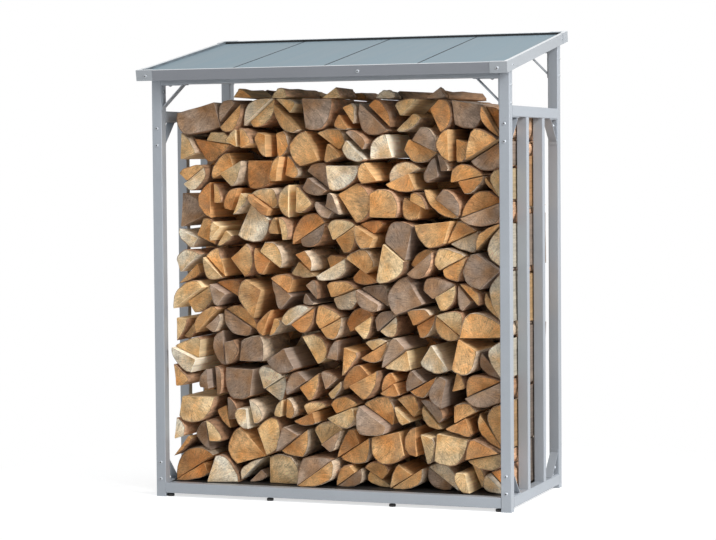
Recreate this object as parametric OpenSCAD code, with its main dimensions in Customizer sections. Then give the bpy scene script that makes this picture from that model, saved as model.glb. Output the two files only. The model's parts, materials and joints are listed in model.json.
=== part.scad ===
// Free-standing log store: a frame of square steel tube with slatted sides and back, a pitched roof
// of sheet panels in a folded edge frame, and a stack of split firewood in two rows, front and rear.
// Millimetres. +X is right, -Y is the open front, +Z is up. The origin is on the ground under the
// middle of the roof.

/* [Frame] */
// Width over the posts
store_w = 1430; // [1100:10:1900]
// Depth over the posts
store_d = 700; // [600:10:900]
// Side of the square tube of posts and rails
tube = 40; // [36:1:45]
// Narrow side of the flat tube of slats and beams
slat_w = 30; // [24:1:34]
// Wall thickness of all the tubes
tube_wall = 1.2; // [1.2:0.1:2]
// Outer corner radius of all the tubes
tube_r = 3; // [2.5:0.5:4]
// Upright slats in each side panel
side_slats = 2; // [1:1:3]
// Upright slats in the back panel
back_slats = 5; // [3:1:7]
// Bearers under the floor sheet
bearers = 3; // [2:1:4]

/* [Heights] */
// Ground to the underside of the base rails
base_z = 14; // [12:1:24]
// Ground to the roof's underside at its front edge
roof_z = 1600; // [1450:1:1900]
// That underside down to the underside of the side and back rails
rail_drop = 153; // [152:1:300]
// Thickness of the floor sheet
floor_t = 3; // [2:0.5:5]

/* [Roof] */
// Slope of the roof, rising to the rear, in degrees
roof_pitch = 10.3; // [6:0.1:14]
// Roof beyond the posts at the front
front_overhang = 88; // [75:1:140]
// Roof beyond the posts at the rear
rear_overhang = 40; // [20:1:80]
// Roof beyond the posts on each side
side_overhang = 20; // [16:1:26]
// Height of the folded edge frame
edge_h = 40; // [36:1:50]
// Width of the lip folded over the top of the edge frame
edge_lip = 15; // [14:1:20]
// Width of the seat folded under the edge frame
edge_seat = 45; // [42:1:46]
// Thickness of the folded sheet of the edge frame and its corner caps
sheet_t = 1.5; // [1:0.1:2]
// Length of each leg of a corner cap
cap_leg = 66; // [55:1:90]
// Thickness of the roof panels
panel_t = 1; // [0.8:0.1:1.5]
// Depth of the edges folded down along a panel
panel_fold = 12; // [9:1:14]
// Width of the seam between two panels
seam_w = 8; // [4:0.5:8]
// Width of a rafter
rafter_w = 40; // [34:1:40]
// Height of the seal between panels and lip
seal_h = 8; // [6:1:9]
// Width of that seal
seal_w = 12; // [8:1:13]

/* [Brackets and feet] */
// Length of each leg of a corner bracket
bracket_leg = 100; // [80:1:100]
// Width of the strip that the brackets are bent from
bracket_w = 32; // [26:1:34]
// Thickness of that strip
bracket_t = 3; // [2:0.5:4]
// Length of a bracket leg beyond the diagonal
bracket_end = 12; // [8:1:20]
// Diameter of a foot
foot_d = 26; // [20:1:32]
// Diameter of a foot's stem
stem_d = 12; // [8:1:16]
// Height of a foot's pad
pad_h = 11; // [6:1:12]

/* [Firewood] */
// Top of the stack above the underside of the side rails
stack_rise = 88; // [-200:1:90]
// How far the stack's top falls towards its two ends
stack_crown = 56; // [0:1:80]
// Usual width of a round before it is split
log_w = 124; // [105:1:150]
// Usual height of a round before it is split
log_h = 110; // [95:1:135]
// Gap between neighbouring logs
log_gap = 0.6; // [0.4:0.1:0.9]
// How far the log ends stand unevenly
log_uneven = 55; // [20:1:60]
// Space between the stack and the posts on each side
stack_play = 3; // [2:0.5:8]
// How far the stack leans in from the left side at its top
stack_lean = 40; // [10:1:45]
// Seed of the stack's pattern
log_seed = 41; // [1:1:99]

/* [Hidden] */

steel = [0.66, 0.69, 0.72];
roof_steel = [0.50, 0.56, 0.60];
black = [0.08, 0.08, 0.08];
wood = [0.78, 0.58, 0.36];

// Straight pieces that each rounded tube corner is drawn with
corner_steps = 3;

// Roof panels side by side
panels = 4;

// The roof: its length up the slope, and where its front lower edge lies
roof_l = (front_overhang + store_d + rear_overhang) / cos(roof_pitch);
roof_w = store_w + 2 * side_overhang - 2 * sheet_t;
roof_front_y = -(roof_l * cos(roof_pitch) - (edge_h + sheet_t) * sin(roof_pitch)) / 2;
panel_top = edge_h - sheet_t - seal_h;
rafter_h = panel_top - panel_fold - sheet_t;
panel_w = (roof_w - 2 * sheet_t - (panels - 1) * seam_w) / panels;
edge_profile = [[0, 0], [edge_seat, 0], [edge_seat, sheet_t], [sheet_t, sheet_t],
    [sheet_t, edge_h - sheet_t], [edge_lip, edge_h - sheet_t], [edge_lip, edge_h], [0, edge_h]];

// The frame: faces of the posts, and the space between them
half_w = store_w / 2;
inner_x = half_w - tube;
front_y = roof_front_y + front_overhang;
rear_y = front_y + store_d;
inner_front = front_y + tube;
inner_rear = rear_y - tube;
inner_d = inner_rear - inner_front;
floor_z = base_z + tube;
rail_z = roof_z - rail_drop;
front_beam_z = roof_under(front_y, sheet_t) - slat_w;
rear_beam_z = roof_under(inner_rear, sheet_t) - slat_w;

// The firewood: its outline seen from the front, its rows, and the plane between front and rear
stack_half = inner_x - stack_play;
stack_z = rail_z + stack_rise;
stack_bottom = floor_z + log_gap / 2;
log_rows = round((stack_z - stack_bottom) / log_h);
log_cols = round(2 * stack_half / log_w);
crown_left = -0.62 * stack_half;
crown_right = 0.65 * stack_half;
crown_fall = 0.3 * stack_crown;
stack_top = [[-stack_half, stack_z - stack_crown], [crown_left, stack_z],
    [crown_right, stack_z - crown_fall], [stack_half, stack_z - stack_crown]];
stack_mid = (front_y + rear_y) / 2 - tube / 2;
band_starts = [for (k = [0:4]) round(k * log_rows / 4)];

// How far the sites stand off an even grid, in steps of that grid, and every second row's shift
site_play = [0.22, 0.24];
row_shift = 0.25;
// How much the rounds vary in size, and the share of them that is a wedge instead of two halves
size_play = 0.16;
wedge_share = 0.2;
// Where a bark corner is cut off along its two sides, and the shortest side that a round keeps
bark_cut = 0.34;
shortest_side = log_h / 9;
// How far the front ends stand in at least, in the bottom course and in the others
bottom_set = 0.55 * log_uneven;
front_set = 0.15 * log_uneven;
// How unevenly the rear ends stand along the back slats, and the inner ends in the middle
rear_play = 0.3 * log_uneven;
inner_set = 0.04 * log_uneven;
inner_play = 0.1 * log_uneven;

// The loose logs on the crown: length, width, least and greatest height, and how far they lie askew
loose_l = 0.39 * store_d;
loose_w = 0.64 * log_w;
loose_h = [0.27, 0.36] * log_w;
loose_turn = 17;
// Half the depth that one takes when it lies the most askew, and their places along the crown
loose_reach = (loose_l * cos(loose_turn) + loose_w * sin(loose_turn)) / 2;
loose_spots = [0.05, 0.26, 0.47, 0.7, 0.93];

// Height of the roof's underside above the ground at depth y, or of a level h above that underside
function roof_under(y, h = 0) = roof_z + (y - roof_front_y) * tan(roof_pitch) + h / cos(roof_pitch);

// Corner points of a rectangle a by b with rounded corners
function rounded(a, b, r) = [for (q = [0:3], k = [0:corner_steps])
    let (turn = 90 * q + 90 * k / corner_steps)
    [q == 0 || q == 3 ? a - r : r, q < 2 ? b - r : r] + r * [cos(turn), sin(turn)]];

module tube_section(a, b) {
    difference() {
        polygon(rounded(a, b, tube_r));
        translate([tube_wall, tube_wall])
            polygon(rounded(a - 2 * tube_wall, b - 2 * tube_wall, tube_r - tube_wall));
    }
}

// A length of tube from its lower left corner at, along X, Y or Z
module tube_x(at, l, a = tube, b = tube) {
    translate(at) rotate([90, 0, 90]) linear_extrude(l) tube_section(a, b);
}

module tube_y(at, l, a = tube, b = tube) {
    translate(at + [0, l, 0]) rotate([90, 0, 0]) linear_extrude(l) tube_section(a, b);
}

module tube_z(at, l, a = tube, b = tube) {
    translate(at) linear_extrude(l) tube_section(a, b);
}

// Places a shape drawn flat in the plane of the roof: X across, Y up the slope, Z off the underside
module on_roof() {
    translate([0, roof_front_y, roof_z]) rotate([roof_pitch, 0, 0]) children();
}

module mirrored_x() {
    mirror([1, 0, 0]) children();
}

// Turns a shape front to rear inside the frame
module turned_y() {
    translate([0, front_y + rear_y, 0]) mirror([0, 1, 0]) children();
}

// A post, its top cut to the slope of the roof
module post(x, y) {
    color(steel) difference() {
        tube_z([x, y, 0], roof_under(y + 2 * tube));
        on_roof() translate([-store_w, -store_d, 0]) cube([2 * store_w, 3 * store_d, 2 * tube]);
    }
}

module front_left_post() { post(-half_w, front_y); }
module front_right_post() { post(inner_x, front_y); }
module rear_left_post() { post(-half_w, inner_rear); }
module rear_right_post() { post(inner_x, inner_rear); }

module front_base_rail() { color(steel) tube_x([-inner_x, front_y, base_z], 2 * inner_x); }
module rear_base_rail() { color(steel) tube_x([-inner_x, inner_rear, base_z], 2 * inner_x); }
module left_base_rail() { color(steel) tube_y([-half_w, inner_front, base_z], inner_d); }
module right_base_rail() { color(steel) tube_y([inner_x, inner_front, base_z], inner_d); }

module floor_bearers() {
    step = (inner_d - bearers * tube) / (bearers + 1);
    color(steel) for (k = [1:bearers])
        tube_x([-inner_x, inner_front + k * step + (k - 1) * tube, floor_z - floor_t - slat_w],
            2 * inner_x, tube, slat_w);
}

module floor_sheet() {
    color(black) translate([-inner_x, inner_front, floor_z - floor_t])
        cube([2 * inner_x, inner_d, floor_t]);
}

// A turned foot: a pad with a sloping shoulder, and a stem up to the rail
module foot() {
    rotate_extrude($fn = 48) polygon([[0, 0], [foot_d / 2 - 1, 0], [foot_d / 2, 1], [foot_d / 2, pad_h - 2],
        [stem_d / 2 + 2, pad_h], [stem_d / 2, pad_h], [stem_d / 2, base_z], [0, base_z]]);
}

module foot_row(y) {
    color(black) for (x = [-1, -0.373, 0.373, 1] * (inner_x - foot_d / 2))
        translate([x, y, 0]) foot();
}

module front_feet() { foot_row(front_y + tube / 2); }
module rear_feet() { foot_row(rear_y - tube / 2); }

module left_side_rail() { color(steel) tube_y([-half_w, inner_front, rail_z], inner_d); }
module right_side_rail() { color(steel) tube_y([inner_x, inner_front, rail_z], inner_d); }
module back_rail() { color(steel) tube_x([-inner_x, inner_rear, rail_z], 2 * inner_x); }

// Upright slats evenly between the posts of one side
module side_slat_row(x) {
    step = (inner_d - side_slats * slat_w) / (side_slats + 1);
    color(steel) for (k = [1:side_slats])
        tube_z([x, inner_front + k * step + (k - 1) * slat_w, floor_z], rail_z - floor_z, tube, slat_w);
}

module left_slats() { side_slat_row(-half_w); }
module right_slats() { side_slat_row(inner_x); }

module back_slat_row() {
    step = (2 * inner_x - back_slats * slat_w) / (back_slats + 1);
    color(steel) for (k = [1:back_slats])
        tube_z([-inner_x + k * step + (k - 1) * slat_w, inner_rear, floor_z], rail_z - floor_z, slat_w, tube);
}

module front_beam() {
    color(steel) tube_x([-inner_x, front_y, front_beam_z], 2 * inner_x, tube, slat_w);
}

module rear_beam() {
    color(steel) tube_x([-inner_x, inner_rear, rear_beam_z], 2 * inner_x, tube, slat_w);
}

// A corner bracket bent from strip: two legs from the corner along +X and +Y, and the diagonal
module bracket() {
    far = bracket_leg - bracket_end;
    near = far - bracket_t * sqrt(2);
    linear_extrude(bracket_w) difference() {
        polygon([[0, 0], [bracket_leg, 0], [bracket_leg, bracket_t], [far, bracket_t],
            [bracket_t, far], [bracket_t, bracket_leg], [0, bracket_leg]]);
        polygon([[bracket_t, bracket_t], [near, bracket_t], [bracket_t, near]]);
    }
}

// Under a beam: one bracket in each of its two corners with the posts
module beam_brackets(y, z) {
    module one() {
        translate([-inner_x, y + (tube - bracket_w) / 2, z]) rotate([-90, 0, 0]) bracket();
    }
    color(steel) {
        one();
        mirrored_x() one();
    }
}

module front_top_brackets() { beam_brackets(front_y, front_beam_z); }
module rear_top_brackets() { beam_brackets(inner_rear, rear_beam_z); }

// In a side panel: brackets under the side rail and on the base rail, at the front and rear posts
module right_side_brackets() {
    edge = (tube - bracket_w) / 2;
    module pair() {
        translate([half_w - edge, inner_front, rail_z]) rotate([-90, 0, 90]) bracket();
        translate([inner_x + edge, inner_front, floor_z]) rotate([90, 0, 90]) bracket();
    }
    color(steel) {
        pair();
        turned_y() pair();
    }
}

module left_side_brackets() { mirrored_x() right_side_brackets(); }

module roof_front_edge() {
    color(roof_steel) on_roof() translate([-roof_w / 2, 0, 0])
        rotate([90, 0, 90]) linear_extrude(roof_w) polygon(edge_profile);
}

module roof_rear_edge() {
    color(roof_steel) on_roof() translate([roof_w / 2, roof_l, 0])
        rotate([90, 0, -90]) linear_extrude(roof_w) polygon(edge_profile);
}

module roof_left_edge() {
    color(roof_steel) on_roof() translate([-roof_w / 2, roof_l - edge_seat, 0])
        rotate([90, 0, 0]) linear_extrude(roof_l - 2 * edge_seat) polygon(edge_profile);
}

module roof_right_edge() { mirrored_x() roof_left_edge(); }

// A folded cap over one corner of the edge frame: two walls outside it and a lip on top
module corner_cap() {
    translate([-sheet_t, -sheet_t, 0]) {
        linear_extrude(edge_h + sheet_t) difference() {
            square(cap_leg);
            translate([sheet_t, sheet_t]) square(cap_leg);
        }
        translate([0, 0, edge_h]) linear_extrude(sheet_t) difference() {
            square(cap_leg);
            translate([edge_lip, edge_lip]) square(cap_leg);
        }
    }
}

module roof_corner_caps() {
    module front_pair() {
        translate([-roof_w / 2, 0, 0]) corner_cap();
        mirrored_x() translate([-roof_w / 2, 0, 0]) corner_cap();
    }
    color(roof_steel) on_roof() {
        front_pair();
        translate([0, roof_l, 0]) mirror([0, 1, 0]) front_pair();
    }
}

// Rafters between the front and rear edges: one under each seam and one along each side
module roof_rafters() {
    side_x = roof_w / 2 - sheet_t - rafter_w / 2;
    seams = [for (k = [1:panels - 1]) (k - panels / 2) * (panel_w + seam_w)];
    color(steel) on_roof() for (x = concat([-side_x], seams, [side_x]))
        tube_y([x - rafter_w / 2, sheet_t, sheet_t], roof_l - 2 * sheet_t, rafter_w, rafter_h);
}

// A panel: a flat sheet with an edge folded down along each side
module roof_panel(k) {
    left = (k - 1 - panels / 2) * (panel_w + seam_w) + seam_w / 2;
    deep = panel_fold - panel_t;
    color(roof_steel) on_roof()
        translate([left, roof_l - sheet_t, panel_top - panel_fold]) rotate([90, 0, 0])
            linear_extrude(roof_l - 2 * sheet_t)
                polygon([[0, 0], [panel_t, 0], [panel_t, deep], [panel_w - panel_t, deep],
                    [panel_w - panel_t, 0], [panel_w, 0], [panel_w, panel_fold], [0, panel_fold]]);
}

module roof_panel_1() { roof_panel(1); }
module roof_panel_2() { roof_panel(2); }
module roof_panel_3() { roof_panel(3); }
module roof_panel_4() { roof_panel(4); }

// Strips that fill the seams, a little below the panels
module roof_seam_strips() {
    below = panel_fold / 6;
    color(black) on_roof() for (k = [1:panels - 1])
        translate([(k - panels / 2) * (panel_w + seam_w) - seam_w / 2, sheet_t, panel_top - panel_fold])
            cube([seam_w, roof_l - 2 * sheet_t, panel_fold - below]);
}

// A seal all round, between the panels and the lip: four strips with a slit at each corner
module roof_seal() {
    slit = 0.3;
    seal_x = roof_w / 2 - sheet_t;
    side_l = roof_l - 2 * (sheet_t + seal_w + slit);
    color(black) on_roof() translate([0, 0, panel_top]) {
        for (y = [sheet_t, roof_l - sheet_t - seal_w])
            translate([-seal_x, y, 0]) cube([2 * seal_x, seal_w, seal_h]);
        for (x = [-seal_x, seal_x - seal_w])
            translate([x, sheet_t + seal_w + slit, 0]) cube([seal_w, side_l, seal_h]);
    }
}

// One log row seen from the front: for each round a site and a weight, [x, z, weight]
function log_sites(seed) =
    let (n = log_rows * log_cols,
        dx = rands(-site_play[0], site_play[0], n, seed),
        dz = rands(-site_play[1], site_play[1], n, seed + 1),
        weight = rands(-size_play, size_play, n, seed + 2))
    [for (r = [0:log_rows - 1]) [for (c = [0:log_cols - 1])
        let (i = r * log_cols + c, shift = r % 2 == 0 ? row_shift : -row_shift,
            up = (r + 0.5 + dz[i]) / log_rows, across = (c + 0.5 + shift + dx[i]) / log_cols,
            x = stack_half - (1 - across) * (2 * stack_half - stack_lean * up))
        [x, stack_bottom + up * (lookup(x, stack_top) - stack_bottom), weight[i] * log_w * log_h]]];

// The part of a convex outline on the near side of a line: through point p, square to unit vector u
function clipped(outline, p, u) =
    let (n = len(outline), side = [for (q = outline) (q - p) * u])
    [for (i = [0:n - 1]) let (j = (i + 1) % n)
        each concat(side[i] <= 0 ? [outline[i]] : [],
            side[i] * side[j] < 0
                ? [outline[i] + (outline[j] - outline[i]) * side[i] / (side[i] - side[j])] : [])];

// The outline around one site, cut half a gap short of the line to each of its neighbours in turn
function cut_to(outline, site, others, k = 0) =
    k == len(others) ? outline :
    let (other = others[k], step = [other[0] - site[0], other[1] - site[1]], far = norm(step),
        reach = far / 2 + (site[2] - other[2]) / (2 * far) - log_gap / 2)
    cut_to(clipped(outline, [site[0], site[1]] + step * reach / far, step / far), site, others, k + 1);

// An outline without the corners that lie close to the next one
function without_short_sides(outline, shortest) =
    let (n = len(outline))
    [for (i = [0:n - 1]) if (norm(outline[(i + 1) % n] - outline[i]) > shortest) outline[i]];

// The whole place of log (r, c) among its neighbours, inside the stack's leaning outline
function log_place(sites, r, c) =
    let (near = [for (a = [max(0, r - 2):min(log_rows - 1, r + 2)],
            b = [max(0, c - 3):min(log_cols - 1, c + 3)]) if (a != r || b != c) sites[a][b]],
        stack = [[-stack_half, stack_bottom], [stack_half, stack_bottom], stack_top[3],
            stack_top[2], stack_top[1], stack_top[0] + [stack_lean, 0]])
    without_short_sides(cut_to(stack, sites[r][c], near), shortest_side);

// Position of the largest value in a list
function largest(values) = search(max(values), values)[0];

// Twice the area of an outline
function double_area(outline) =
    let (n = len(outline)) abs([for (i = [0:n - 1]) cross(outline[i], outline[(i + 1) % n])]
        * [for (i = [0:n - 1]) 1]);

// A round split in two from one corner to another across it, where the cut is most even
function halves(place) =
    let (n = len(place),
        cuts = [for (i = [0:n - 1])
            let (p = place[i], run = place[(i + floor(n / 2)) % n] - p, u = [run[1], -run[0]] / norm(run))
            [clipped(place, p - u * log_gap / 2, u), clipped(place, p + u * log_gap / 2, -u)]],
        even = [for (pair = cuts) min(double_area(pair[0]), double_area(pair[1]))])
    cuts[largest(even)];

// How sharply an outline turns at each of its corners, from -1 for straight on to 1 for right back
function corner_turns(place) =
    let (n = len(place))
    [for (i = [0:n - 1])
        let (a = place[i] - place[(i + n - 1) % n], b = place[(i + 1) % n] - place[i])
        -a * b / norm(a) / norm(b)];

// Whether a corner lies along the right side of the stack, where the logs are laid flush
function flush(p) = p[0] > stack_half - log_gap;

// A round trimmed to a wedge: without the corner that follows its sharpest one
function trimmed(place) =
    let (n = len(place), after = (largest(corner_turns(place)) + 1) % n)
    n < 6 || flush(place[after]) ? place : [for (i = [0:n - 1]) if (i != after) place[i]];

// A split log's section: the bark side has its corners cut off and the split sides keep theirs.
// A wedge keeps its sharpest corner and the two beside it, a half log keeps the ends of its longest side.
function split_section(place, wedge) =
    let (n = len(place),
        sides = [for (i = [0:n - 1]) norm(place[(i + 1) % n] - place[i])],
        first = wedge ? largest(corner_turns(place)) + n - 1 : largest(sides),
        kept = wedge ? 2 : 1)
    [for (i = [0:n - 1]) let (p = place[i], from_first = (i - first + 2 * n) % n)
        each from_first <= kept || flush(p) ? [p] :
            [p + (place[(i + n - 1) % n] - p) * bark_cut, p + (place[(i + 1) % n] - p) * bark_cut]];

// The logs of one row between two heights in the stack, with ends that stand unevenly
module log_band(front, band) {
    seed = log_seed + (front ? 0 : 10);
    sites = log_sites(seed);
    n = log_rows * log_cols;
    kind = rands(0, 1, n, seed + 3);
    out = rands(0, 1, 2 * n, seed + 4);
    in = rands(0, 1, 2 * n, seed + 5);
    color(wood) for (r = [band_starts[band]:band_starts[band + 1] - 1], c = [0:log_cols - 1]) {
        i = r * log_cols + c;
        place = log_place(sites, r, c);
        wedge = kind[i] < wedge_share || len(place) < 4;
        logs = wedge ? [trimmed(place)] : halves(place);
        for (k = [0:len(logs) - 1]) {
            y_out = front ? front_y + (r == 0 ? bottom_set : front_set) + out[2 * i + k] * log_uneven
                : inner_rear - log_gap - out[2 * i + k] * rear_play;
            y_in = stack_mid + (front ? -1 : 1) * (inner_set + inner_play * in[2 * i + k]);
            translate([0, max(y_out, y_in), 0]) rotate([90, 0, 0]) linear_extrude(abs(y_out - y_in))
                polygon(split_section(logs[k], wedge));
        }
    }
}

module front_logs_bottom() { log_band(true, 0); }
module front_logs_lower() { log_band(true, 1); }
module front_logs_upper() { log_band(true, 2); }
module front_logs_top() { log_band(true, 3); }
module rear_logs_bottom() { log_band(false, 0); }
module rear_logs_lower() { log_band(false, 1); }
module rear_logs_upper() { log_band(false, 2); }
module rear_logs_top() { log_band(false, 3); }

// A loose log lying on its flat side: a half round, or a wedge with its ridge to one side
module loose_log(h, wedge) {
    round_top = [for (t = [0:22.5:180]) [loose_w / 2 * cos(t), h * sin(t)]];
    ridge = [[0.5, 0], [0.46, 0.3], [0.3, 0.82], [0.2, 1], [-0.5, 0]];
    rotate([90, 0, 0]) translate([0, 0, -loose_l / 2]) linear_extrude(loose_l)
        polygon(wedge ? [for (p = ridge) [p[0] * loose_w, p[1] * h]] : round_top);
}

// Loose logs lying end-on along the crown, a little askew, in a front and a rear row
module loose_logs() {
    middle = (front_y + rear_y) / 2;
    n = len(loose_spots);
    tall = rands(loose_h[0], loose_h[1], 2 * n, log_seed + 6);
    turn = rands(-loose_turn, loose_turn, n, log_seed + 7);
    color(wood) for (row = [-1, 1], k = [0:n - 1]) {
        i = row < 0 ? k : n + k;
        x = crown_left + loose_spots[k] * (crown_right - crown_left);
        translate([x, middle + row * (loose_reach + log_gap), lookup(x, stack_top) + log_gap / 2])
            rotate([0, atan(crown_fall / (crown_right - crown_left)), 0])
                mirror([i % 3 == 0 ? 1 : 0, 0, 0]) rotate(turn[k]) loose_log(tall[i], i % 2 == 0);
    }
}

front_left_post();
front_right_post();
rear_left_post();
rear_right_post();
front_base_rail();
rear_base_rail();
left_base_rail();
right_base_rail();
floor_bearers();
floor_sheet();
front_feet();
rear_feet();
left_side_rail();
right_side_rail();
back_rail();
left_slats();
right_slats();
back_slat_row();
front_beam();
rear_beam();
front_top_brackets();
rear_top_brackets();
left_side_brackets();
right_side_brackets();
roof_front_edge();
roof_rear_edge();
roof_left_edge();
roof_right_edge();
roof_corner_caps();
roof_rafters();
roof_panel_1();
roof_panel_2();
roof_panel_3();
roof_panel_4();
roof_seam_strips();
roof_seal();
front_logs_bottom();
front_logs_lower();
front_logs_upper();
front_logs_top();
rear_logs_bottom();
rear_logs_lower();
rear_logs_upper();
rear_logs_top();
loose_logs();
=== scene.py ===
# Log store: coated steel frame and roof, screws, and a full stack of split firewood.
import bmesh
import bpy
import json
import math
import random
from mathutils import Matrix, Vector, noise


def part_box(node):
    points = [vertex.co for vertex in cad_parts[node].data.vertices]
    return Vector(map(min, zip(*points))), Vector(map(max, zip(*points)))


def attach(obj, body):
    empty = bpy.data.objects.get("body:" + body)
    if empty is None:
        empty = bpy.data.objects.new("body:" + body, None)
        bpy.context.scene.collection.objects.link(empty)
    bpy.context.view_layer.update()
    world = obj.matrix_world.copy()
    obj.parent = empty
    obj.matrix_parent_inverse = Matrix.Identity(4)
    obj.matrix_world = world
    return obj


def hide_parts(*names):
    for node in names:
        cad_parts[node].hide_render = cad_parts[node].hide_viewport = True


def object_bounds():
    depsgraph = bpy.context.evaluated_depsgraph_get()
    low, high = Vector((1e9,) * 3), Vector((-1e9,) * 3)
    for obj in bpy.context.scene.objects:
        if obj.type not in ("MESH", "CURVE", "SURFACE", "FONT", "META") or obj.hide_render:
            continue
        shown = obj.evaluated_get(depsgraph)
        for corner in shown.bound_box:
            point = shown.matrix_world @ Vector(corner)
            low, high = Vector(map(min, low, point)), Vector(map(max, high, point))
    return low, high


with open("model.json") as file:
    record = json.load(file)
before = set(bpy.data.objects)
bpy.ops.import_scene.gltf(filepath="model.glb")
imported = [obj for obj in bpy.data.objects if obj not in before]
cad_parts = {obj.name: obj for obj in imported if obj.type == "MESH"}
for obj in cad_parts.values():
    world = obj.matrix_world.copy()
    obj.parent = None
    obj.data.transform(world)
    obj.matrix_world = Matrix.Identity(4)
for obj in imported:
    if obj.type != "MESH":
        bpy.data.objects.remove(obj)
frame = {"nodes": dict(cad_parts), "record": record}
cadLow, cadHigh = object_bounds()
nodes = frame["nodes"]
scene = bpy.context.scene
scene.view_settings.view_transform = "Standard"
print("frame loaded,", len(nodes), "nodes")


# Node helpers

def paint(red, green, blue):
    # a colour as a paint chart gives it, 0 to 255, made linear
    steps = [value / 255 for value in (red, green, blue)]
    lin = [s / 12.92 if s <= 0.04045 else ((s + 0.055) / 1.055) ** 2.4 for s in steps]
    return (*lin, 1.0)


def feed(tree, socket, value):
    if isinstance(value, bpy.types.NodeSocket):
        tree.links.new(value, socket)
    elif value is not None:
        socket.default_value = value


def calc(tree, operation, first, second=None):
    node = tree.nodes.new("ShaderNodeMath")
    node.operation = operation
    feed(tree, node.inputs[0], first)
    feed(tree, node.inputs[1], second)
    return node.outputs[0]


def grainNoise(tree, place, scale, detail=3.0, stretch=None, roughness=0.55):
    if stretch:
        mapping = tree.nodes.new("ShaderNodeMapping")
        mapping.inputs["Scale"].default_value = stretch
        tree.links.new(place, mapping.inputs["Vector"])
        place = mapping.outputs["Vector"]
    node = tree.nodes.new("ShaderNodeTexNoise")
    node.inputs["Scale"].default_value = scale
    node.inputs["Detail"].default_value = detail
    node.inputs["Roughness"].default_value = roughness
    tree.links.new(place, node.inputs["Vector"])
    return node.outputs["Fac"]


def spread(tree, value, fromLow, fromHigh, toLow, toHigh):
    node = tree.nodes.new("ShaderNodeMapRange")
    feed(tree, node.inputs["Value"], value)
    node.inputs["From Min"].default_value = fromLow
    node.inputs["From Max"].default_value = fromHigh
    node.inputs["To Min"].default_value = toLow
    node.inputs["To Max"].default_value = toHigh
    return node.outputs["Result"]


def blendColour(tree, kind, amount, first, second):
    node = tree.nodes.new("ShaderNodeMix")
    node.data_type = "RGBA"
    node.blend_type = kind
    feed(tree, node.inputs[0], amount)
    feed(tree, node.inputs[6], first)
    feed(tree, node.inputs[7], second)
    return node.outputs[2]


def shade(tree, colour, factor):
    # brightness of a colour times a factor
    node = tree.nodes.new("ShaderNodeVectorMath")
    node.operation = "SCALE"
    feed(tree, node.inputs[0], colour)
    feed(tree, node.inputs["Scale"], factor)
    return node.outputs[0]


def bump(tree, shader, height, strength, distance):
    node = tree.nodes.new("ShaderNodeBump")
    node.inputs["Strength"].default_value = strength
    node.inputs["Distance"].default_value = distance
    tree.links.new(height, node.inputs["Height"])
    tree.links.new(node.outputs["Normal"], shader.inputs["Normal"])


def newFinish(name):
    material = bpy.data.materials.new(name)
    material.use_nodes = True
    tree = material.node_tree
    return material, tree, tree.nodes["Principled BSDF"]


def objectPlace(tree):
    return tree.nodes.new("ShaderNodeTexCoord").outputs["Object"]


def normalParts(tree):
    parts = tree.nodes.new("ShaderNodeSeparateXYZ")
    tree.links.new(tree.nodes.new("ShaderNodeNewGeometry").outputs["Normal"], parts.inputs[0])
    return parts.outputs


def ownAttribute(tree, name, output):
    node = tree.nodes.new("ShaderNodeAttribute")
    node.attribute_name = name
    return node.outputs[output]


# Coated steel and sheet

coating = {
    "tube": (168, 174, 181),
    # painted shade: the front roof edge is a darker copy of the edge paint
    "roofFront": (136, 139, 145),
    "roofEdge": (166, 171, 176),
    # painted highlight for the lips of the roof edges that face upwards
    "roofLip": (226, 229, 231),
    "roofSheet": (128, 147, 157),
    # painted shade for the panel edges folded down into the seams
    "roofFold": (84, 90, 95),
    "sheetStreak": (9, 0.5, 2),
    "metallic": 0.25,
    "rough": (0.38, 0.52),
    "roofRough": (0.52, 0.66),
}
blacks = {
    # black rubber, also used on the roof seal as painted shade for the gap under the lips
    "rubber": (26, 26, 27),
    "rubberRough": 0.6,
    "rubberGrain": 260,
    # painted light: the seal's faces that look sideways are painted lighter grey
    "sealSide": (98, 106, 112),
    "plastic": (30, 29, 29),
    "plasticRough": 0.52,
    "plasticGrain": 180,
}


def upwards(tree):
    # 1 on faces that look up, 0 elsewhere
    return spread(tree, normalParts(tree)[2], 0.7, 0.9, 0.0, 1.0)


def sideways(tree):
    # 1 on faces that look to the left or right, 0 elsewhere
    return spread(tree, calc(tree, "ABSOLUTE", normalParts(tree)[0]), 0.6, 0.8, 0.0, 1.0)


def coatedSteel(name, colour, rough, streak=None, lip=None, fold=None):
    material, tree, shader = newFinish(name)
    place = objectPlace(tree)
    colour = paint(*colour)
    broad = grainNoise(tree, place, 2.2, 3, streak)
    speck = grainNoise(tree, place, 420, 2)
    tone = calc(tree, "MULTIPLY", spread(tree, broad, 0.3, 0.7, 0.94, 1.05),
                spread(tree, speck, 0.3, 0.7, 0.965, 1.03))
    if lip:
        # painted highlight: folded lips that face upwards are painted near-white
        colour = blendColour(tree, "MIX", upwards(tree), colour, paint(*lip))
    elif fold:
        # painted shade: the sideways faces of the edges folded down into the seams are painted dark grey
        colour = blendColour(tree, "MIX", sideways(tree), colour, paint(*fold))
    else:
        colour = colour[:3]
    tree.links.new(shade(tree, colour, tone), shader.inputs["Base Color"])
    tree.links.new(spread(tree, broad, 0.3, 0.7, *rough), shader.inputs["Roughness"])
    shader.inputs["Metallic"].default_value = coating["metallic"]
    bump(tree, shader, speck, 0.12, 0.0004)
    return material


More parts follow.
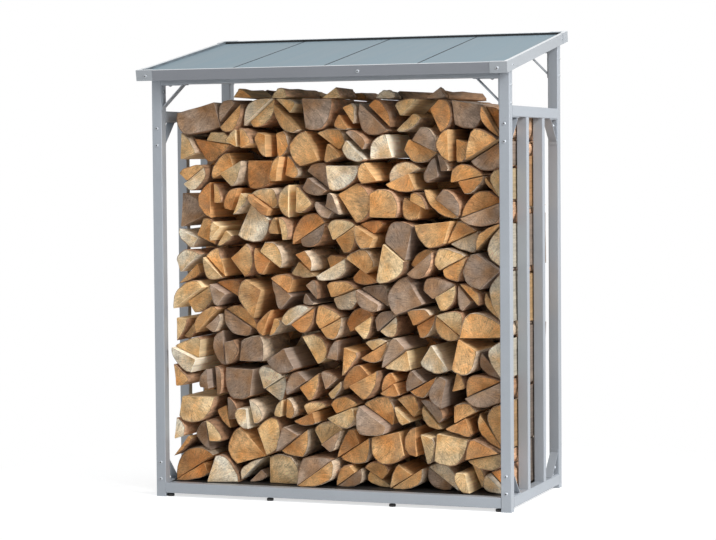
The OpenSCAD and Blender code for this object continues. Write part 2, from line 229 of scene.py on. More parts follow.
def blackFinish(name, colour, rough, grain, litSideColour=None):
    material, tree, shader = newFinish(name)
    place = objectPlace(tree)
    dust = grainNoise(tree, place, 9, 5)
    fine = grainNoise(tree, place, grain, 3)
    colour = paint(*colour)
    # painted light: faces that look to the left or right are painted in the lighter side colour
    if litSideColour:
        colour = blendColour(tree, "MIX", sideways(tree), colour, paint(*litSideColour))
    else:
        colour = colour[:3]
    tone = spread(tree, dust, 0.3, 0.75, 0.7, 1.7)
    tree.links.new(shade(tree, colour, tone), shader.inputs["Base Color"])
    tree.links.new(spread(tree, fine, 0.3, 0.7, rough - 0.08, rough + 0.1), shader.inputs["Roughness"])
    bump(tree, shader, fine, 0.2, 0.0006)
    return material


steelTube = coatedSteel("steelTube", coating["tube"], coating["rough"])
roofFront = coatedSteel("roofFront", coating["roofFront"], coating["rough"], lip=coating["roofLip"])
roofEdge = coatedSteel("roofEdge", coating["roofEdge"], coating["rough"], lip=coating["roofLip"])
roofSheet = coatedSteel("roofSheet", coating["roofSheet"], coating["roofRough"], coating["sheetStreak"],
                        fold=coating["roofFold"])
blackRubber = blackFinish("blackRubber", blacks["rubber"], blacks["rubberRough"], blacks["rubberGrain"])
# the roof seal's black stands in for the shadow gap under the lips, as painted shade, with painted light on
# its sideways faces
roofSeal = blackFinish("roofSeal", blacks["rubber"], blacks["rubberRough"], blacks["rubberGrain"],
                       blacks["sealSide"])
blackPlastic = blackFinish("blackPlastic", blacks["plastic"], blacks["plasticRough"], blacks["plasticGrain"])
slotFinish = {
    "steel_tube": steelTube,
    "roof_edge": roofEdge,
    "roof_sheet": roofSheet,
    "black_rubber": blackRubber,
    "black_plastic": blackPlastic,
}
for part in frame["record"]["subparts"]:
    finish = slotFinish.get(part["material_slot"])
    # the front edge takes the darker copy, as painted shade
    if part["node"] == "roof_front_edge":
        finish = roofFront
    if part["node"] == "roof_seal":
        finish = roofSeal
    if finish:
        mesh = nodes[part["node"]].data
        mesh.materials.clear()
        mesh.materials.append(finish)
print("steel, rubber and plastic finished")


# Firewood finishes: each log carries its own tint and its place round the pith

woodGrain = {
    "ringWidth": 0.0095,
    "fineRingWidth": 0.0031,
    "ringWander": 0.007,
    "stain": (244, 214, 172),
    "heart": (240, 213, 172),
    "weathered": (132, 112, 96),
    "barkEdge": (66, 48, 36),
    "lichen": (158, 152, 140),
}


def sawnEnd():
    material, tree, shader = newFinish("sawnEnd")
    place = ownAttribute(tree, "grainPlace", "Vector")
    tint = ownAttribute(tree, "endTint", "Color")
    rim = ownAttribute(tree, "barkRim", "Fac")
    share = ownAttribute(tree, "pithShare", "Fac")
    parts = tree.nodes.new("ShaderNodeSeparateXYZ")
    tree.links.new(place, parts.inputs[0])
    across, high = parts.outputs[0], parts.outputs[2]
    squares = calc(tree, "ADD", calc(tree, "MULTIPLY", across, across), calc(tree, "MULTIPLY", high, high))
    radius = calc(tree, "SQRT", squares)
    wander = spread(tree, grainNoise(tree, place, 26, 3), 0.0, 1.0,
                    -woodGrain["ringWander"], woodGrain["ringWander"])
    ringRadius = calc(tree, "ADD", radius, wander)
    ringTurn = 2 * math.pi / woodGrain["ringWidth"]
    fineTurn = 2 * math.pi / woodGrain["fineRingWidth"]
    rings = calc(tree, "SINE", calc(tree, "MULTIPLY", ringRadius, ringTurn))
    fineRings = calc(tree, "SINE", calc(tree, "MULTIPLY", ringRadius, fineTurn))
    ringTone = calc(tree, "MULTIPLY", spread(tree, rings, -1, 1, 0.95, 1.03),
                    spread(tree, fineRings, -1, 1, 0.975, 1.015))
    # drying cracks and saw streaks run out from the pith
    angle = calc(tree, "ARCTAN2", high, across)
    spokes = tree.nodes.new("ShaderNodeCombineXYZ")
    tree.links.new(calc(tree, "MULTIPLY", angle, 1.9), spokes.inputs[0])
    tree.links.new(calc(tree, "MULTIPLY", radius, 5.0), spokes.inputs[1])
    tree.links.new(parts.outputs[1], spokes.inputs[2])
    crackLine = grainNoise(tree, spokes.outputs[0], 3.4, 1)
    nearLine = calc(tree, "ABSOLUTE", calc(tree, "SUBTRACT", crackLine, 0.5))
    crack = spread(tree, nearLine, 0.002, 0.022, 0.62, 1.0)
    streak = spread(tree, grainNoise(tree, spokes.outputs[0], 12, 5), 0.3, 0.7, 0.7, 1.22)
    blotch = spread(tree, grainNoise(tree, place, 22, 5), 0.3, 0.7, 0.68, 1.2)
    tone = calc(tree, "MULTIPLY", calc(tree, "MULTIPLY", ringTone, crack),
                calc(tree, "MULTIPLY", streak, blotch))
    stained = spread(tree, grainNoise(tree, place, 13, 3), 0.42, 0.66, 0.0, 0.8)
    warm = blendColour(tree, "MULTIPLY", stained, tint, paint(*woodGrain["stain"]))
    inner = spread(tree, share, 0.15, 0.85, 0.7, 0.0)
    heart = blendColour(tree, "MULTIPLY", inner, warm, paint(*woodGrain["heart"]))
    sawMarks = grainNoise(tree, place, 60, 4, (1, 1, 6))
    wood = shade(tree, shade(tree, heart, tone), spread(tree, sawMarks, 0.3, 0.7, 0.84, 1.12))
    weathered = spread(tree, grainNoise(tree, place, 15, 4), 0.52, 0.75, 0.0, 0.4)
    grey = blendColour(tree, "MIX", weathered, wood, paint(*woodGrain["weathered"]))
    outer = spread(tree, rim, 0.45, 1.0, 0.0, 0.85)
    barkEdge = blendColour(tree, "MIX", outer, grey, paint(*woodGrain["barkEdge"]))
    tree.links.new(barkEdge, shader.inputs["Base Color"])
    shader.inputs["Roughness"].default_value = 0.85
    relief = calc(tree, "ADD", calc(tree, "MULTIPLY", crack, 1.5), calc(tree, "ADD", sawMarks, ringTone))
    bump(tree, shader, relief, 0.45, 0.003)
    return material


def splitFace():
    material, tree, shader = newFinish("splitFace")
    place = ownAttribute(tree, "grainPlace", "Vector")
    tint = ownAttribute(tree, "splitTint", "Color")
    fibre = grainNoise(tree, place, 30, 5, (4, 0.16, 4))
    tear = grainNoise(tree, place, 11, 4, (2, 0.5, 2))
    tone = calc(tree, "MULTIPLY", spread(tree, fibre, 0.28, 0.72, 0.68, 1.18),
                spread(tree, tear, 0.3, 0.7, 0.82, 1.12))
    tree.links.new(shade(tree, tint, tone), shader.inputs["Base Color"])
    shader.inputs["Roughness"].default_value = 0.8
    bump(tree, shader, calc(tree, "ADD", fibre, tear), 0.6, 0.004)
    return material


def roughBark():
    material, tree, shader = newFinish("roughBark")
    place = ownAttribute(tree, "grainPlace", "Vector")
    tint = ownAttribute(tree, "barkTint", "Color")
    ridge = grainNoise(tree, place, 26, 6, (2.2, 0.55, 2.2), 0.65)
    lichen = grainNoise(tree, place, 17, 5)
    tone = spread(tree, ridge, 0.3, 0.68, 0.45, 1.4)
    bark = shade(tree, tint, tone)
    patches = spread(tree, lichen, 0.56, 0.72, 0.0, 0.5)
    patched = blendColour(tree, "MIX", patches, bark, paint(*woodGrain["lichen"]))
    tree.links.new(patched, shader.inputs["Base Color"])
    shader.inputs["Roughness"].default_value = 0.92
    bump(tree, shader, ridge, 0.8, 0.007)
    return material


# Split logs: every log keeps to the solid that the frame gives it

firewood = {
    "barkPoints": 12,
    "sidePoints": 4,
    "slices": 4,
    "cornerRound": 0.0035,
    "endChamfer": 0.0018,
    "rimWidth": 0.0055,
    "sawTilt": 0.17,
    "innerTilt": 0.02,
    "dent": 0.0035,
    "barkDent": 0.0065,
    "looseDent": 2.2,
    "taper": 0.035,
    "wedgeShare": 0.6,
    "askew": 0.3,
    "steepSplit": 0.75,
    "secondBlow": 0.85,
    "blowShare": (0.16, 0.46),
    "blowTurn": (62, 108),
    "leastLeft": 0.52,
    "setBack": 0.045,
    "flushReach": 0.002,
    "pithSpan": (0.35, 0.65),
    "pithShift": (-0.25, 0.35),
    "endLevel": (0.9, 1.2),
    "splitLevel": (0.9, 1.1),
    "barkLevel": (1.1, 1.65),
    # painted shade on the split faces of logs flush behind the side slats
    "sideTone": 0.48,
    "looseTone": 1.3,
    "dentPitch": 48,
    "barkWaves": 3.0,
    "splitWaves": 1.2,
    "seed": 5,
}
endShades = [
    ((236, 190, 134), 30),
    ((244, 215, 168), 20),
    ((222, 168, 112), 18),
    ((188, 164, 144), 15),
    ((164, 144, 128), 10),
    ((250, 238, 214), 9),
]
barkShades = [((172, 136, 106), 4), ((138, 106, 80), 3), ((186, 166, 142), 3)]
logFinishes = [sawnEnd(), splitFace(), roughBark()]
# points nearer to a line than these, in metres, count as on it
hair = 1e-7
lineWidth = 1e-6


def logSolids(node):
    # the front outline and the middles of the front and rear end of each log in a node
    bm = bmesh.new()
    bm.from_mesh(node.data)
    bmesh.ops.remove_doubles(bm, verts=bm.verts, dist=2e-5)
    bmesh.ops.dissolve_limit(bm, angle_limit=math.radians(0.6), verts=bm.verts, edges=bm.edges)
    bm.normal_update()
    bm.faces.ensure_lookup_table()
    seen = set()
    logs = []
    for face in bm.faces:
        if face.index in seen:
            continue
        seen.add(face.index)
        island, waiting = [], [face]
        while waiting:
            here = waiting.pop()
            island.append(here)
            for edge in here.edges:
                for other in edge.link_faces:
                    if other.index not in seen:
                        seen.add(other.index)
                        waiting.append(other)
        ends = sorted(island, key=lambda f: -abs(f.normal.y))[:2]
        ends.sort(key=lambda f: f.calc_center_median().y)
        outline = [v.co.copy() for v in ends[0].verts]
        logs.append((outline, ends[0].calc_center_median(), ends[1].calc_center_median()))
    bm.free()
    return logs


def cutCorner(line, rounds):
    # softens an open line of points, keeping its two ends
    for _ in range(rounds):
        soft = [line[0]]
        for first, second in zip(line, line[1:]):
            soft.append(first.lerp(second, 0.25))
            soft.append(first.lerp(second, 0.75))
        soft.append(line[-1])
        line = soft
    return line


def evenSteps(line, count):
    lengths = [0.0]
    for first, second in zip(line, line[1:]):
        lengths.append(lengths[-1] + (second - first).length)
    steps = []
    spot = 0
    for k in range(count):
        want = lengths[-1] * k / (count - 1)
        while spot < len(line) - 2 and lengths[spot + 1] < want:
            spot += 1
        run = lengths[spot + 1] - lengths[spot]
        share = (want - lengths[spot]) / run if run > 0 else 0.0
        steps.append(line[spot].lerp(line[spot + 1], share))
    return steps


def trimmed(points, spot, outward):
    # the part of a convex outline behind a line through spot, square to outward
    kept = []
    for here, after in zip(points, points[1:] + points[:1]):
        a, b = (here - spot).dot(outward), (after - spot).dot(outward)
        if a <= hair:
            kept.append(here)
        if min(a, b) < -hair and max(a, b) > hair:
            kept.append(here.lerp(after, a / (a - b)))
    return kept


def areaOf(points):
    return sum(a.x * b.y - b.x * a.y for a, b in zip(points, points[1:] + points[:1])) / 2


def startingOn(points, spot, outward):
    # the same outline, turned to begin with the side that lies on the line
    for k in range(len(points)):
        pair = (points[k], points[(k + 1) % len(points)])
        if all(abs((p - spot).dot(outward)) < lineWidth for p in pair):
            return points[k:] + points[:k]
    return points


def splitOutline(points, dice, whole, softening):
    # the longest side was split, and its longer neighbour too if it is near that length
    # the rest is bark
    count = len(points)
    sides = [(points[(k + 1) % count] - points[k]).length for k in range(count)]
    longest = sides.index(max(sides))
    before, after = sides[longest - 1], sides[(longest + 1) % count]
    first, splits = longest, 1
    if max(before, after) > firewood["wedgeShare"] * sides[longest] and count > 4:
        splits = 2
        if before > after:
            first = longest - 1
    ring = [points[(first + k) % count] for k in range(count)]
    if splits == 1:
        # the split runs a little askew, and a part of the halves lost a corner to a second blow
        run = ring[1] - ring[0]
        inward = Vector((-run.y, run.x)).normalized()
        depth = max((p - ring[0]).dot(inward) for p in ring)
        slack = 0.0 if whole or abs(inward.y) > firewood["steepSplit"] else firewood["askew"]
        left = ring[0] + inward * depth * dice.uniform(0, slack)
        right = ring[1] + inward * depth * dice.uniform(0, slack)
        chord = (right - left).normalized()
        outward = Vector((chord.y, -chord.x))
        half = startingOn(trimmed(ring, left, outward), left, outward)
        if not whole and dice.random() < firewood["secondBlow"]:
            share = dice.uniform(*firewood["blowShare"])
            apex = half[0].lerp(half[1], share)
            turn = math.radians(dice.uniform(*firewood["blowTurn"]))
            blow = Vector((chord.x * math.cos(turn) - chord.y * math.sin(turn),
                           chord.x * math.sin(turn) + chord.y * math.cos(turn)))
            away = Vector((-blow.y, blow.x))
            if dice.random() < 0.5:
                apex = half[1].lerp(half[0], share)
                blow = blow - chord * 2 * blow.dot(chord)
                away = Vector((blow.y, -blow.x))
            wedge = startingOn(trimmed(half, apex, away), apex, away)
            if areaOf(wedge) > firewood["leastLeft"] * areaOf(half):
                onChord = abs((wedge[1] - left).dot(outward)) < lineWidth
                half = wedge if onChord else wedge[-1:] + wedge[:-1]
                splits = 2
        ring = half
    corners = ring[:splits + 1]
    bark = evenSteps(cutCorner(ring[splits:] + ring[:1], softening), firewood["barkPoints"])
    outline = []
    for start, end in zip(corners, corners[1:]):
        bite = min(0.3, firewood["cornerRound"] / max((end - start).length, 0.001))
        steps = firewood["sidePoints"]
        outline += [start.lerp(end, bite + (1 - 2 * bite) * k / (steps - 1)) for k in range(steps)]
    isBark = [False] * (len(outline) - 1) + [True] * (len(bark) - 1)
    outline += bark[1:-1]
    if splits == 2:
        return outline, isBark, corners[1]
    return outline, isBark, corners[0].lerp(corners[1], dice.uniform(*firewood["pithSpan"]))


def logMesh(name, verts, faces, finishOf, places, rims, shares, tints):
    mesh = bpy.data.meshes.new(name)
    mesh.from_pydata([tuple(v) for v in verts], [], faces)
    for finish in logFinishes:
        mesh.materials.append(finish)
    mesh.polygons.foreach_set("material_index", finishOf)
    mesh.polygons.foreach_set("use_smooth", [kind == 2 for kind in finishOf])
    layer = mesh.attributes.new("grainPlace", "FLOAT_VECTOR", "POINT")
    layer.data.foreach_set("vector", [c for place in places for c in place])
    for layerName, values in (("barkRim", rims), ("pithShare", shares)):
        layer = mesh.attributes.new(layerName, "FLOAT", "POINT")
        layer.data.foreach_set("value", values)
    for slotNo, tintName in enumerate(("endTint", "splitTint", "barkTint")):
        layer = mesh.attributes.new(tintName, "FLOAT_COLOR", "POINT")
        layer.data.foreach_set("color", [c for tint in tints for c in tint[slotNo]])
    bm = bmesh.new()
    bm.from_mesh(mesh)
    bmesh.ops.recalc_face_normals(bm, faces=bm.faces)
    bm.to_mesh(mesh)
    bm.free()
    return mesh


def buildLogs(name, node, dice, loose, rear):
    verts, faces, finishOf, places, rims, shares, tints = [], [], [], [], [], [], []
    solids = logSolids(node)
    rightSide = max(p.x for corners, _, _ in solids for p in corners)
    for corners, start, end in solids:
        axis = (end - start).normalized()
        reach = (end - start).length
        upward = Vector((0, 0, 1))
        side = axis.cross(upward)
        flat = [Vector(((p - start).dot(side), (p - start).dot(upward))) for p in corners]
        if areaOf(flat) < 0:
            flat.reverse()
        # logs along the right side of the stack are laid flush behind the slats
        flush = not loose and max(p.x for p in corners) > rightSide - firewood["flushReach"]
        # and those of the rear row are fuller, so that little light comes through the stack
        softening = 1 if rear or flush else 3
        outline, isBark, apex = splitOutline(flat, dice, loose or rear or flush, softening)
        count = len(outline)
        middle = sum(outline, Vector((0, 0))) / count
        pith = apex + (apex - middle) * dice.uniform(*firewood["pithShift"])
        girth = max((p - pith).length for p in outline)
        endShade = dice.choices([s for s, _ in endShades], [w for _, w in endShades])[0]
        barkShade = dice.choices([s for s, _ in barkShades], [w for _, w in barkShades])[0]
        level = dice.uniform(*firewood["endLevel"])
        endTint = [c * level for c in paint(*endShade)[:3]] + [1.0]
        splitLevel = level * dice.uniform(*firewood["splitLevel"])
        barkLevel = dice.uniform(*firewood["barkLevel"])
        # painted shade: split faces of logs flush behind the slats are painted darker
        if flush:
            splitLevel *= firewood["sideTone"]
        if loose:
            barkLevel *= firewood["looseTone"]
        splitTint = [c * splitLevel for c in paint(*endShade)[:3]] + [1.0]
        barkTint = [c * barkLevel for c in paint(*barkShade)[:3]] + [1.0]
        drift = Vector((dice.uniform(-40, 40), dice.uniform(-40, 40), dice.uniform(-40, 40)))
        thin = dice.uniform(0, firewood["taper"])
        if dice.random() < 0.5:
            thin = -thin
        base = len(verts)

        def lean(tilt):
            slopeX = dice.uniform(-1, 1) * tilt
            slopeZ = dice.uniform(-1, 1) * tilt
            least = min(p.x * slopeX + p.y * slopeZ for p in outline)
            return lambda p: p.x * slopeX + p.y * slopeZ - least

        # the ends that show are sawn askew and stand unevenly, the inner ones meet closely
        outerTilt, innerTilt = firewood["sawTilt"], firewood["innerTilt"]
        frontLean = lean(innerTilt if rear else outerTilt)
        rearLean = lean(outerTilt if rear or loose else innerTilt)
        setBack = 0.0 if loose else firewood["setBack"] * dice.random() ** 2
        frontSet, rearSet = (0.0, setBack) if rear else (setBack, 0.0)

        def addRing(share, inset, depth, rimBark, rimSplit):
            # one closed ring of points: share along the log, inset from the outline, depth from that end
            for k, point in enumerate(outline):
                scale = 1 - abs(thin) * (share if thin > 0 else 1 - share)
                waves = firewood["barkWaves" if isBark[k] else "splitWaves"]
                pitch = firewood["dentPitch"]
                probe = Vector((point.x * pitch, point.y * pitch, share * waves)) + drift
                deepest = firewood["barkDent" if isBark[k] and not rear else "dent"]
                dent = deepest * (0.5 + 0.5 * noise.noise(probe))
                inward = middle - point
                if loose:
                    dent = dent * firewood["looseDent"] if isBark[k] else 0.0
                spot = point + inward * (1 - scale) + inward.normalized() * (dent + inset)
                front = frontLean(spot) + depth + frontSet
                back = reach - rearLean(spot) - depth - rearSet
                far = front + (back - front) * share
                verts.append(start + side * spot.x + upward * spot.y + axis * far)
                places.append((spot.x - pith.x, far + drift.x * 0.05, spot.y - pith.y))
                shares.append((spot - pith).length / girth)
                barkHere = isBark[k] or isBark[k - 1]
                rims.append(rimBark if barkHere else rimSplit)
            tints.extend([(endTint, splitTint, barkTint)] * count)

        chamfer, rim = firewood["endChamfer"], firewood["rimWidth"]
        addRing(0.0, chamfer + rim, 0.0, 0.0, 0.0)
        addRing(0.0, chamfer, 0.0, 1.0, 0.5)
        for k in range(firewood["slices"] + 1):
            addRing(k / firewood["slices"], 0.0, chamfer, 1.0, 0.5)
        addRing(1.0, chamfer, 0.0, 1.0, 0.5)
        addRing(1.0, chamfer + rim, 0.0, 0.0, 0.0)
        rows = firewood["slices"] + 5
        for row in range(rows - 1):
            sawn = row in (0, rows - 2)
            for k in range(count):
                nextK = (k + 1) % count
                faces.append((base + row * count + k, base + (row + 1) * count + k,
                              base + (row + 1) * count + nextK, base + row * count + nextK))
                finishOf.append(0 if sawn else (2 if isBark[k] else 1))
        for row in (0, rows - 1):
            hub = len(verts)
            ring = range(base + row * count, base + (row + 1) * count)
            verts.append(sum((verts[k] for k in ring), Vector()) / count)
            places.append(tuple(sum(places[k][axisNo] for k in ring) / count for axisNo in range(3)))
            rims.append(0.0)
            shares.append(math.hypot(places[hub][0], places[hub][2]) / girth)
            tints.append((endTint, splitTint, barkTint))
            for k in range(count):
                faces.append((hub, ring[k], ring[(k + 1) % count]))
                finishOf.append(0)
    mesh = logMesh(name, verts, faces, finishOf, places, rims, shares, tints)
    piece = bpy.data.objects.new(name, mesh)
    scene.collection.objects.link(piece)
    return piece


logDice = random.Random(firewood["seed"])
logNodes = [p["node"] for p in frame["record"]["subparts"] if p["material_slot"] == "firewood"]
for nodeName in logNodes:
    words = nodeName.split("_")
    pieceName = "split" + "".join(word.capitalize() for word in words)
    piece = buildLogs(pieceName, nodes[nodeName], logDice, "loose" in words, "rear" in words)
    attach(piece, "root")
    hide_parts(nodeName)
print("firewood stacked,", len(logNodes), "bands")


# Screws: domed heads whose six-sided socket is a black hexagon, painted shade for the recess, on the posts,
# the brackets and the roof's caps and edges

screws = {
    "headRadius": 0.0072,
    "headHeight": 0.0044,
    "capHeight": 0.0034,
    "socketRadius": 0.0028,
    "socketDepth": 0.0016,
    "socketSink": 0.0007,
    "segments": 16,
    "rings": 8,
    "zinc": (182, 187, 192),
    "bracketNear": 0.027,
    "bracketFar": 0.092,
    "baseNear": 0.014,
    "baseFar": 0.078,
    "flange": 0.003,
    "capInset": 0.038,
    "edgeInset": 0.078,
    "edgeHeight": 0.0013,
}
roofPlace = {
    "frontY": -0.41029,
    "frontZ": 1.600,
    "pitch": 10.3,
    "length": 0.8416,
    "sheet": 0.0015,
    "screwHeight": 0.018,
    "rearScrewHeight": 0.026,
    "midScrew": 0.163,
}


def zincFinish():
    material, tree, shader = newFinish("zincScrew")
    fine = grainNoise(tree, objectPlace(tree), 700, 3)
    tone = spread(tree, fine, 0.3, 0.7, 0.9, 1.08)
    tree.links.new(shade(tree, paint(*screws["zinc"])[:3], tone), shader.inputs["Base Color"])
    tree.links.new(spread(tree, fine, 0.3, 0.7, 0.38, 0.5), shader.inputs["Roughness"])
    shader.inputs["Metallic"].default_value = 0.6
    bump(tree, shader, fine, 0.1, 0.0003)
    return material


def screwTree():
    tree = bpy.data.node_groups.new("screwHeads", "GeometryNodeTree")
    face = tree.interface
    face.new_socket("Geometry", in_out="INPUT", socket_type="NodeSocketGeometry")
    named = {}
    for label in ("headRadius", "headHeight", "socketRadius"):
        named[label] = face.new_socket(label, in_out="INPUT", socket_type="NodeSocketFloat").identifier
    for label in ("headFinish", "socketFinish"):
        named[label] = face.new_socket(label, in_out="INPUT", socket_type="NodeSocketMaterial").identifier
    face.new_socket("Geometry", in_out="OUTPUT", socket_type="NodeSocketGeometry")
    group = tree.nodes.new("NodeGroupInput")
    result = tree.nodes.new("NodeGroupOutput")

    def wire(fromNode, fromName, toNode, toName):
        tree.links.new(fromNode.outputs[fromName], toNode.inputs[toName])

    dome = tree.nodes.new("GeometryNodeMeshUVSphere")
    dome.inputs["Segments"].default_value = screws["segments"]
    dome.inputs["Rings"].default_value = screws["rings"]
    dome.inputs["Radius"].default_value = 1.0
    flatten = tree.nodes.new("GeometryNodeTransform")
    size = tree.nodes.new("ShaderNodeCombineXYZ")
    wire(group, "headRadius", size, "X")
    wire(group, "headRadius", size, "Y")
    wire(group, "headHeight", size, "Z")
    wire(dome, "Mesh", flatten, "Geometry")
    wire(size, "Vector", flatten, "Scale")
    socket = tree.nodes.new("GeometryNodeMeshCylinder")
    socket.inputs["Vertices"].default_value = 6
    socket.inputs["Depth"].default_value = screws["socketDepth"]
    wire(group, "socketRadius", socket, "Radius")
    lift = tree.nodes.new("GeometryNodeTransform")
    rise = tree.nodes.new("ShaderNodeCombineXYZ")
    lower = tree.nodes.new("ShaderNodeMath")
    lower.operation = "SUBTRACT"
    lower.inputs[1].default_value = screws["socketSink"]
    tree.links.new(group.outputs["headHeight"], lower.inputs[0])
    tree.links.new(lower.outputs[0], rise.inputs["Z"])
    wire(socket, "Mesh", lift, "Geometry")
    wire(rise, "Vector", lift, "Translation")
    mark = tree.nodes.new("GeometryNodeStoreNamedAttribute")
    mark.data_type = "BOOLEAN"
    mark.domain = "FACE"
    mark.inputs["Name"].default_value = "socketFace"
    mark.inputs["Value"].default_value = True
    wire(lift, "Geometry", mark, "Geometry")
    head = tree.nodes.new("GeometryNodeJoinGeometry")
    tree.links.new(flatten.outputs[0], head.inputs[0])
    tree.links.new(mark.outputs[0], head.inputs[0])
    facing = tree.nodes.new("GeometryNodeInputNamedAttribute")
    facing.data_type = "FLOAT_VECTOR"
    facing.inputs["Name"].default_value = "facing"
    turn = tree.nodes.new("FunctionNodeAlignRotationToVector")
    turn.axis = "Z"
    tree.links.new(facing.outputs["Attribute"], turn.inputs["Vector"])
    place = tree.nodes.new("GeometryNodeInstanceOnPoints")
    wire(group, "Geometry", place, "Points")
    wire(head, "Geometry", place, "Instance")
    wire(turn, "Rotation", place, "Rotation")
    real = tree.nodes.new("GeometryNodeRealizeInstances")
    wire(place, "Instances", real, "Geometry")
    headPaint = tree.nodes.new("GeometryNodeSetMaterial")
    wire(real, "Geometry", headPaint, "Geometry")
    wire(group, "headFinish", headPaint, "Material")
    marked = tree.nodes.new("GeometryNodeInputNamedAttribute")
    marked.data_type = "BOOLEAN"
    marked.inputs["Name"].default_value = "socketFace"
    socketPaint = tree.nodes.new("GeometryNodeSetMaterial")
    wire(headPaint, "Geometry", socketPaint, "Geometry")
    wire(marked, "Attribute", socketPaint, "Selection")
    wire(group, "socketFinish", socketPaint, "Material")
    wire(socketPaint, "Geometry", result, "Geometry")
    return tree, named


def screwSpots():
    spots = []
    postLow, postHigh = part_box("front_left_post")
    frontFace = postLow.y
    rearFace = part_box("rear_left_post")[1].y
    postMid = (postHigh.x - postLow.x) / 2
    near, far = screws["bracketNear"], screws["bracketFar"]
    for hand, sideName in ((-1, "left"), (1, "right")):
        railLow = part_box(sideName + "_side_rail")[0].z
        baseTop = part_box(sideName + "_base_rail")[1].z
        outer = abs(postLow.x)
        x = hand * (outer - postMid)
        for y, out in ((frontFace, -1), (rearFace, 1)):
            lowerTwo = (baseTop + screws["baseNear"], baseTop + screws["baseFar"])
            for z in (railLow - near, railLow - far, *lowerTwo):
                spots.append(((x, y, z), (0, out, 0)))
            # screws on the brackets' flanges: into the post, up into the rail and down into the base
            inner = y - out * (2 * postMid + screws["flange"])
            spots.append(((x, inner, railLow - near), (0, -out, 0)))
            spots.append(((x, inner, baseTop + near), (0, -out, 0)))
            spots.append(((x, inner - out * near, railLow - screws["flange"]), (0, 0, -1)))
            spots.append(((x, inner - out * near, baseTop + screws["flange"]), (0, 0, 1)))
        # the top brackets are screwed through the posts from the outside
        for beam, postName in (("front_beam", "front_left_post"), ("rear_beam", "rear_left_post")):
            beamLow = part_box(beam)[0].z
            low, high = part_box(postName)
            midY = (low.y + high.y) / 2
            for z in (beamLow - near, beamLow - far):
                spots.append(((hand * outer, midY, z), (hand, 0, 0)))
            inner = hand * (outer - 2 * postMid - screws["flange"])
            spots.append(((inner, midY, beamLow - near), (-hand, 0, 0)))
            spots.append(((inner - hand * near, midY, beamLow - screws["flange"]), (0, 0, -1)))
    return spots


def roofSpots():
    # heads on the front and rear faces of the corner caps and one on each of those two edges
    # low heads on the side edges, which keep within the roof's width
    pitch = math.radians(roofPlace["pitch"])
    up = Vector((0, math.cos(pitch), math.sin(pitch)))
    out = Vector((0, -math.sin(pitch), math.cos(pitch)))
    sheet, length = roofPlace["sheet"], roofPlace["length"]
    foot = Vector((0, roofPlace["frontY"], roofPlace["frontZ"]))
    halfWide = cadHigh.x
    capX = halfWide - screws["capInset"]
    faces, sides = [], []
    for along, side, height in ((-sheet, -1, roofPlace["screwHeight"]),
                                (length + sheet, 1, roofPlace["rearScrewHeight"])):
        for x in (-capX, roofPlace["midScrew"], capX):
            onCap = abs(x) == capX
            lift = up * (along if onCap else along - side * sheet)
            faces.append((foot + lift + out * height + Vector((x, 0, 0)), up * side))
    for hand in (-1, 1):
        for along in (screws["edgeInset"], length - screws["edgeInset"]):
            spot = foot + up * along + out * roofPlace["screwHeight"]
            sides.append((spot + Vector((hand * (halfWide - sheet), 0, 0)), Vector((hand, 0, 0))))
    return faces, sides


def makeScrews(name, spots, headHeight):
    mesh = bpy.data.meshes.new(name + "Spots")
    mesh.from_pydata([spot for spot, _ in spots], [], [])
    layer = mesh.attributes.new("facing", "FLOAT_VECTOR", "POINT")
    layer.data.foreach_set("vector", [c for _, facing in spots for c in facing])
    carrier = bpy.data.objects.new(name + "Spots", mesh)
    scene.collection.objects.link(carrier)
    modifier = carrier.modifiers.new("screwHeads", "NODES")
    modifier.node_group = headTree
    modifier[headInputs["headRadius"]] = screws["headRadius"]
    modifier[headInputs["headHeight"]] = headHeight
    modifier[headInputs["socketRadius"]] = screws["socketRadius"]
    modifier[headInputs["headFinish"]] = zinc
    # the black plastic on the socket is painted shade for its recess
    modifier[headInputs["socketFinish"]] = blackPlastic
    shown = carrier.evaluated_get(bpy.context.evaluated_depsgraph_get())
    heads = bpy.data.meshes.new_from_object(shown)
    carrier.modifiers.remove(modifier)
    bpy.data.objects.remove(carrier)
    piece = bpy.data.objects.new(name, heads)
    scene.collection.objects.link(piece)
    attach(piece, "root")


zinc = zincFinish()
headTree, headInputs = screwTree()
capSpots, edgeSpots = roofSpots()
makeScrews("bracketScrews", screwSpots(), screws["headHeight"])
makeScrews("roofScrews", capSpots, screws["capHeight"])
makeScrews("edgeScrews", edgeSpots, screws["edgeHeight"])
print("screws set")


# Floor, light and camera

studio = {
    "floorRadius": 9.0,
    "fadeFrom": 0.8,
    "fadeTo": 1.7,
    "floor": 0.62,
    "floorGlow": 0.66,
    "sky": (0.96, 0.98, 1.0, 1),
    "ambient": 0.55,
}
lamps = {
    "keyLamp": {"place": (5.8, -2.6, 4.2), "aim": (0, 0, 0.9), "width": 3.0, "power": 440},
    "fillLamp": {"place": (-3.6, -4.6, 2.4), "aim": (0, 0, 0.9), "width": 3.0, "power": 6},
    "topLamp": {"place": (0.6, 1.4, 5.2), "aim": (0, 0, 1.6), "width": 3.0, "power": 12},
}


def seenDirectly(tree):
    path = tree.nodes.new("ShaderNodeLightPath")
    first = calc(tree, "MAXIMUM", path.outputs["Is Camera Ray"], path.outputs["Is Glossy Ray"])
    return calc(tree, "MAXIMUM", first, path.outputs["Is Transmission Ray"])


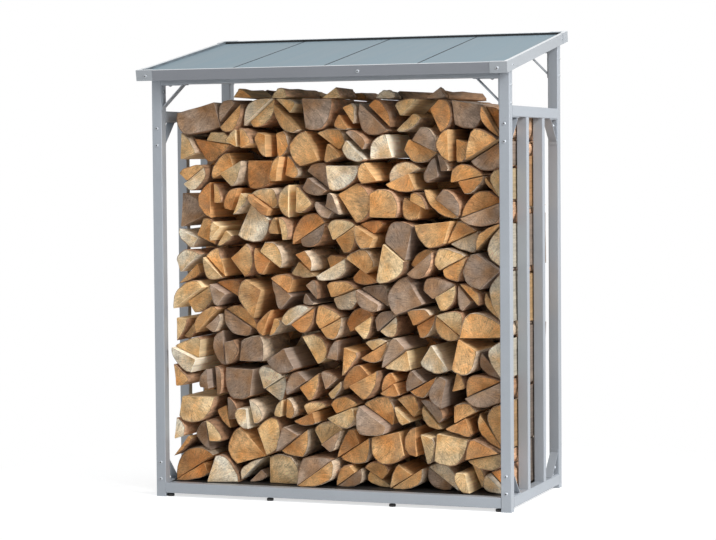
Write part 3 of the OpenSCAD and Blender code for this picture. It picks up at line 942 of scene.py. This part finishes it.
def makeFloor():
    bm = bmesh.new()
    bmesh.ops.create_circle(bm, cap_ends=True, segments=96, radius=studio["floorRadius"])
    mesh = bpy.data.meshes.new("studioFloor")
    bm.to_mesh(mesh)
    bm.free()
    floor = bpy.data.objects.new("studioFloor", mesh)
    scene.collection.objects.link(floor)
    material, tree, shader = newFinish("paleFloor")
    shader.inputs["Base Color"].default_value = (studio["floor"],) * 3 + (1,)
    shader.inputs["Roughness"].default_value = 0.9
    shader.inputs["Specular IOR Level"].default_value = 0.1
    reach = tree.nodes.new("ShaderNodeVectorMath")
    reach.operation = "LENGTH"
    tree.links.new(objectPlace(tree), reach.inputs[0])
    fade = spread(tree, reach.outputs["Value"], studio["fadeFrom"], studio["fadeTo"], 0.0, 1.0)
    seen = seenDirectly(tree)
    # a lift towards white where the floor is seen, under which the shadow stays
    lift = tree.nodes.new("ShaderNodeEmission")
    tree.links.new(calc(tree, "MULTIPLY", seen, studio["floorGlow"]), lift.inputs["Strength"])
    lifted = tree.nodes.new("ShaderNodeAddShader")
    tree.links.new(shader.outputs[0], lifted.inputs[0])
    tree.links.new(lift.outputs[0], lifted.inputs[1])
    white = tree.nodes.new("ShaderNodeEmission")
    mix = tree.nodes.new("ShaderNodeMixShader")
    tree.links.new(calc(tree, "MULTIPLY", fade, seen), mix.inputs[0])
    tree.links.new(lifted.outputs[0], mix.inputs[1])
    tree.links.new(white.outputs[0], mix.inputs[2])
    tree.links.new(mix.outputs[0], tree.nodes["Material Output"].inputs["Surface"])
    mesh.materials.append(material)


def makeWorld():
    world = bpy.data.worlds.new("studio")
    world.use_nodes = True
    tree = world.node_tree
    soft = tree.nodes["Background"]
    soft.inputs["Color"].default_value = studio["sky"]
    soft.inputs["Strength"].default_value = studio["ambient"]
    white = tree.nodes.new("ShaderNodeBackground")
    white.inputs["Color"].default_value = (1, 1, 1, 1)
    mix = tree.nodes.new("ShaderNodeMixShader")
    tree.links.new(seenDirectly(tree), mix.inputs[0])
    tree.links.new(soft.outputs[0], mix.inputs[1])
    tree.links.new(white.outputs[0], mix.inputs[2])
    tree.links.new(mix.outputs[0], tree.nodes["World Output"].inputs["Surface"])
    scene.world = world


def softLamp(name, place, aim, width, power):
    lamp = bpy.data.lights.new(name, "AREA")
    lamp.shape = "SQUARE"
    lamp.size = width
    lamp.energy = power
    holder = bpy.data.objects.new(name, lamp)
    holder.location = place
    holder.rotation_euler = (Vector(aim) - Vector(place)).to_track_quat("-Z", "Y").to_euler()
    scene.collection.objects.link(holder)


makeFloor()
makeWorld()
for lampName, lampSizes in lamps.items():
    softLamp(lampName, **lampSizes)

photoView = {
    "turn": 20.433,
    "down": 2.706,
    "roll": -0.473,
    "distance": 8.7304,
    "aim": (0.0, 0.0037, 0.9),
    "right": 0.0035,
    "up": -0.0329,
    "focalPixels": 2250.2,
    "photoWide": 716,
    "sensor": 36,
}


def makeCamera():
    turn, down, roll = (math.radians(photoView[k]) for k in ("turn", "down", "roll"))
    level = Vector((math.cos(turn), math.sin(turn), 0))
    ahead = Vector((-math.sin(turn), math.cos(turn), 0))
    forward = ahead * math.cos(down) - Vector((0, 0, math.sin(down)))
    upright = level.cross(forward)
    right = level * math.cos(roll) + upright * math.sin(roll)
    up = upright * math.cos(roll) - level * math.sin(roll)
    lens = bpy.data.cameras.new("photoCamera")
    lens.sensor_width = photoView["sensor"]
    lens.lens = photoView["focalPixels"] / photoView["photoWide"] * photoView["sensor"]
    lens.clip_end = 100
    camera = bpy.data.objects.new("photoCamera", lens)
    spot = Vector(photoView["aim"]) - forward * photoView["distance"]
    spot += right * photoView["right"] + up * photoView["up"]
    turned = Matrix((right, up, -forward)).transposed().to_4x4()
    camera.matrix_world = Matrix.Translation(spot) @ turned
    scene.collection.objects.link(camera)
    scene.camera = camera


makeCamera()
print("studio ready")
